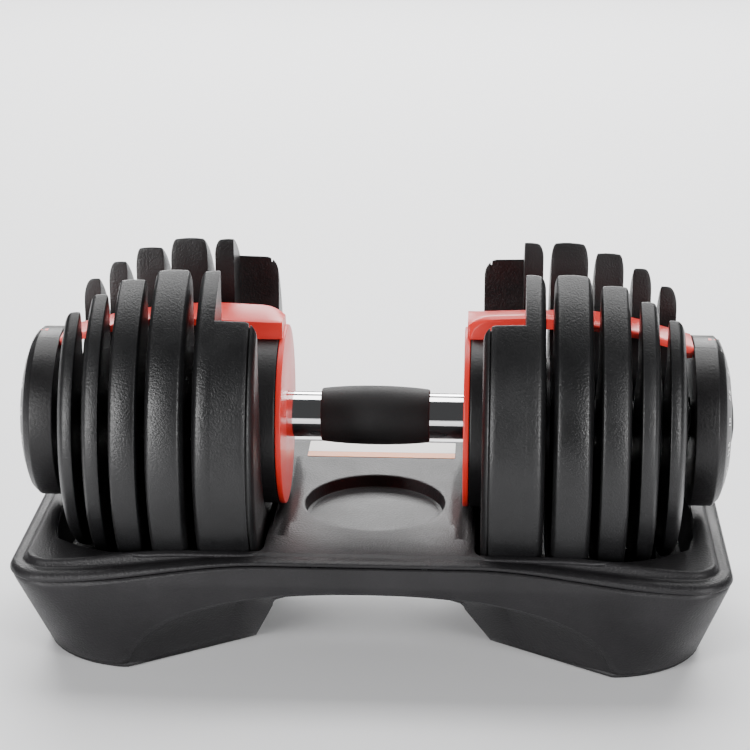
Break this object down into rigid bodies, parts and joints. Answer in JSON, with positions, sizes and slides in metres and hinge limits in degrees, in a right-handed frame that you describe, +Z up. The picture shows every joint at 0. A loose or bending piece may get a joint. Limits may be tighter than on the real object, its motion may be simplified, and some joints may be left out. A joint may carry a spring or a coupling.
{
  "type": "adjustable dumbbell",
  "caption": "Dial-adjustable dumbbell parked in its cradle: notched disc plates nest on a chrome handle under red bridges, with a turning weight dial at each end.",
  "frame": {"origin": "on the floor, under the middle of the cradle", "axes": "+X along the handle to the right, +Y to the back, +Z up"},
  "size_m": [0.4264, 0.2112, 0.2308],
  "materials": {
    "plate_cover": "charcoal black moulded cover, fine satin grain",
    "plate_steel": "blackened steel core",
    "red_plastic": "coral red moulded plastic, semi-gloss",
    "housing_black": "black moulded plastic, satin",
    "dial_black": "black moulded plastic, satin",
    "disc_plastic": "filled nylon, dark grey",
    "tray_black": "black plastic with a fine spark grain",
    "grip_rubber": "matte black moulded rubber",
    "chrome_tube": "polished chrome",
    "steel": "zinc plated steel",
    "foot_rubber": "soft black rubber",
    "label_vinyl": "blank off-white vinyl with a plain orange band"
  },
  "bodies": {
    "tray": {"tray_deck": "tray_black", "tray_base": "tray_black", "rest_combs": "tray_black", "rubber_feet": "foot_rubber", "deck_screws": "steel", "label": "label_vinyl"},
    "handle": {"handle_tube": "chrome_tube", "grip_sleeve": "grip_rubber", "tie_rod": "steel", "rod_nuts": "steel", "housing_screws": "steel", "click_balls": "steel", "click_springs": "steel", "lock_springs": "steel", "left_bridge": "red_plastic", "left_inner_housing": "housing_black", "left_end_housing": "housing_black", "left_index_block": "housing_black", "right_bridge": "red_plastic", "right_inner_housing": "housing_black", "right_end_housing": "housing_black", "right_index_block": "housing_black"},
    "left_dial": {"left_selector_shaft": "steel", "left_dial_knob": "dial_black", "left_dial_grip": "dial_black", "left_selector_disc_1": "disc_plastic", "left_selector_disc_2": "disc_plastic", "left_selector_disc_3": "disc_plastic", "left_selector_disc_4": "disc_plastic", "left_selector_disc_5": "disc_plastic"},
    "left_lock": {"left_lock_slide": "steel"},
    "left_plate_1": {"left_plate_cover_1": "plate_cover", "left_plate_core_1": "plate_steel"},
    "left_plate_2": {"left_plate_cover_2": "plate_cover", "left_plate_core_2": "plate_steel"},
    "left_plate_3": {"left_plate_cover_3": "plate_cover", "left_plate_core_3": "plate_steel"},
    "left_plate_4": {"left_plate_cover_4": "plate_cover", "left_plate_core_4": "plate_steel"},
    "left_plate_5": {"left_plate_cover_5": "plate_cover", "left_plate_core_5": "plate_steel"},
    "right_dial": {"right_selector_shaft": "steel", "right_dial_knob": "dial_black", "right_dial_grip": "dial_black", "right_selector_disc_1": "disc_plastic", "right_selector_disc_2": "disc_plastic", "right_selector_disc_3": "disc_plastic", "right_selector_disc_4": "disc_plastic", "right_selector_disc_5": "disc_plastic"},
    "right_lock": {"right_lock_slide": "steel"},
    "right_plate_1": {"right_plate_cover_1": "plate_cover", "right_plate_core_1": "plate_steel"},
    "right_plate_2": {"right_plate_cover_2": "plate_cover", "right_plate_core_2": "plate_steel"},
    "right_plate_3": {"right_plate_cover_3": "plate_cover", "right_plate_core_3": "plate_steel"},
    "right_plate_4": {"right_plate_cover_4": "plate_cover", "right_plate_core_4": "plate_steel"},
    "right_plate_5": {"right_plate_cover_5": "plate_cover", "right_plate_core_5": "plate_steel"}
  },
  "joints": [
    {"name": "handle_lift", "type": "slide", "parent": "tray", "child": "handle", "axis": [0, 0, 1], "range_m": [0, 0.25]},
    {"name": "left_dial_turn", "type": "hinge", "parent": "handle", "child": "left_dial", "pos_m": [-0.195, 0, 0.131], "axis": [1, 0, 0], "continuous": true},
    {"name": "right_dial_turn", "type": "hinge", "parent": "handle", "child": "right_dial", "pos_m": [0.195, 0, 0.131], "axis": [1, 0, 0], "continuous": true},
    {"name": "left_lock_drop", "type": "slide", "parent": "handle", "child": "left_lock", "axis": [0, 0, 1], "range_m": [-0.0045, 0]},
    {"name": "left_plate_1_lift", "type": "slide", "parent": "tray", "child": "left_plate_1", "axis": [0, 0, 1], "range_m": [0, 0.25]},
    {"name": "left_plate_2_lift", "type": "slide", "parent": "tray", "child": "left_plate_2", "axis": [0, 0, 1], "range_m": [0, 0.25]},
    {"name": "left_plate_3_lift", "type": "slide", "parent": "tray", "child": "left_plate_3", "axis": [0, 0, 1], "range_m": [0, 0.25]},
    {"name": "left_plate_4_lift", "type": "slide", "parent": "tray", "child": "left_plate_4", "axis": [0, 0, 1], "range_m": [0, 0.25]},
    {"name": "left_plate_5_lift", "type": "slide", "parent": "tray", "child": "left_plate_5", "axis": [0, 0, 1], "range_m": [0, 0.25]},
    {"name": "right_lock_drop", "type": "slide", "parent": "handle", "child": "right_lock", "axis": [0, 0, 1], "range_m": [-0.0045, 0]},
    {"name": "right_plate_1_lift", "type": "slide", "parent": "tray", "child": "right_plate_1", "axis": [0, 0, 1], "range_m": [0, 0.25]},
    {"name": "right_plate_2_lift", "type": "slide", "parent": "tray", "child": "right_plate_2", "axis": [0, 0, 1], "range_m": [0, 0.25]},
    {"name": "right_plate_3_lift", "type": "slide", "parent": "tray", "child": "right_plate_3", "axis": [0, 0, 1], "range_m": [0, 0.25]},
    {"name": "right_plate_4_lift", "type": "slide", "parent": "tray", "child": "right_plate_4", "axis": [0, 0, 1], "range_m": [0, 0.25]},
    {"name": "right_plate_5_lift", "type": "slide", "parent": "tray", "child": "right_plate_5", "axis": [0, 0, 1], "range_m": [0, 0.25]}
  ],
  "couplings": [
    {"joint": "left_lock_drop", "follows": "handle_lift", "ratio": -0.018},
    {"joint": "left_plate_1_lift", "follows": "handle_lift", "ratio": 1},
    {"joint": "left_plate_2_lift", "follows": "handle_lift", "ratio": 1},
    {"joint": "left_plate_3_lift", "follows": "handle_lift", "ratio": 1},
    {"joint": "left_plate_4_lift", "follows": "handle_lift", "ratio": 1},
    {"joint": "left_plate_5_lift", "follows": "handle_lift", "ratio": 1},
    {"joint": "right_lock_drop", "follows": "handle_lift", "ratio": -0.018},
    {"joint": "right_plate_1_lift", "follows": "handle_lift", "ratio": 1},
    {"joint": "right_plate_2_lift", "follows": "handle_lift", "ratio": 1},
    {"joint": "right_plate_3_lift", "follows": "handle_lift", "ratio": 1},
    {"joint": "right_plate_4_lift", "follows": "handle_lift", "ratio": 1},
    {"joint": "right_plate_5_lift", "follows": "handle_lift", "ratio": 1}
  ]
}
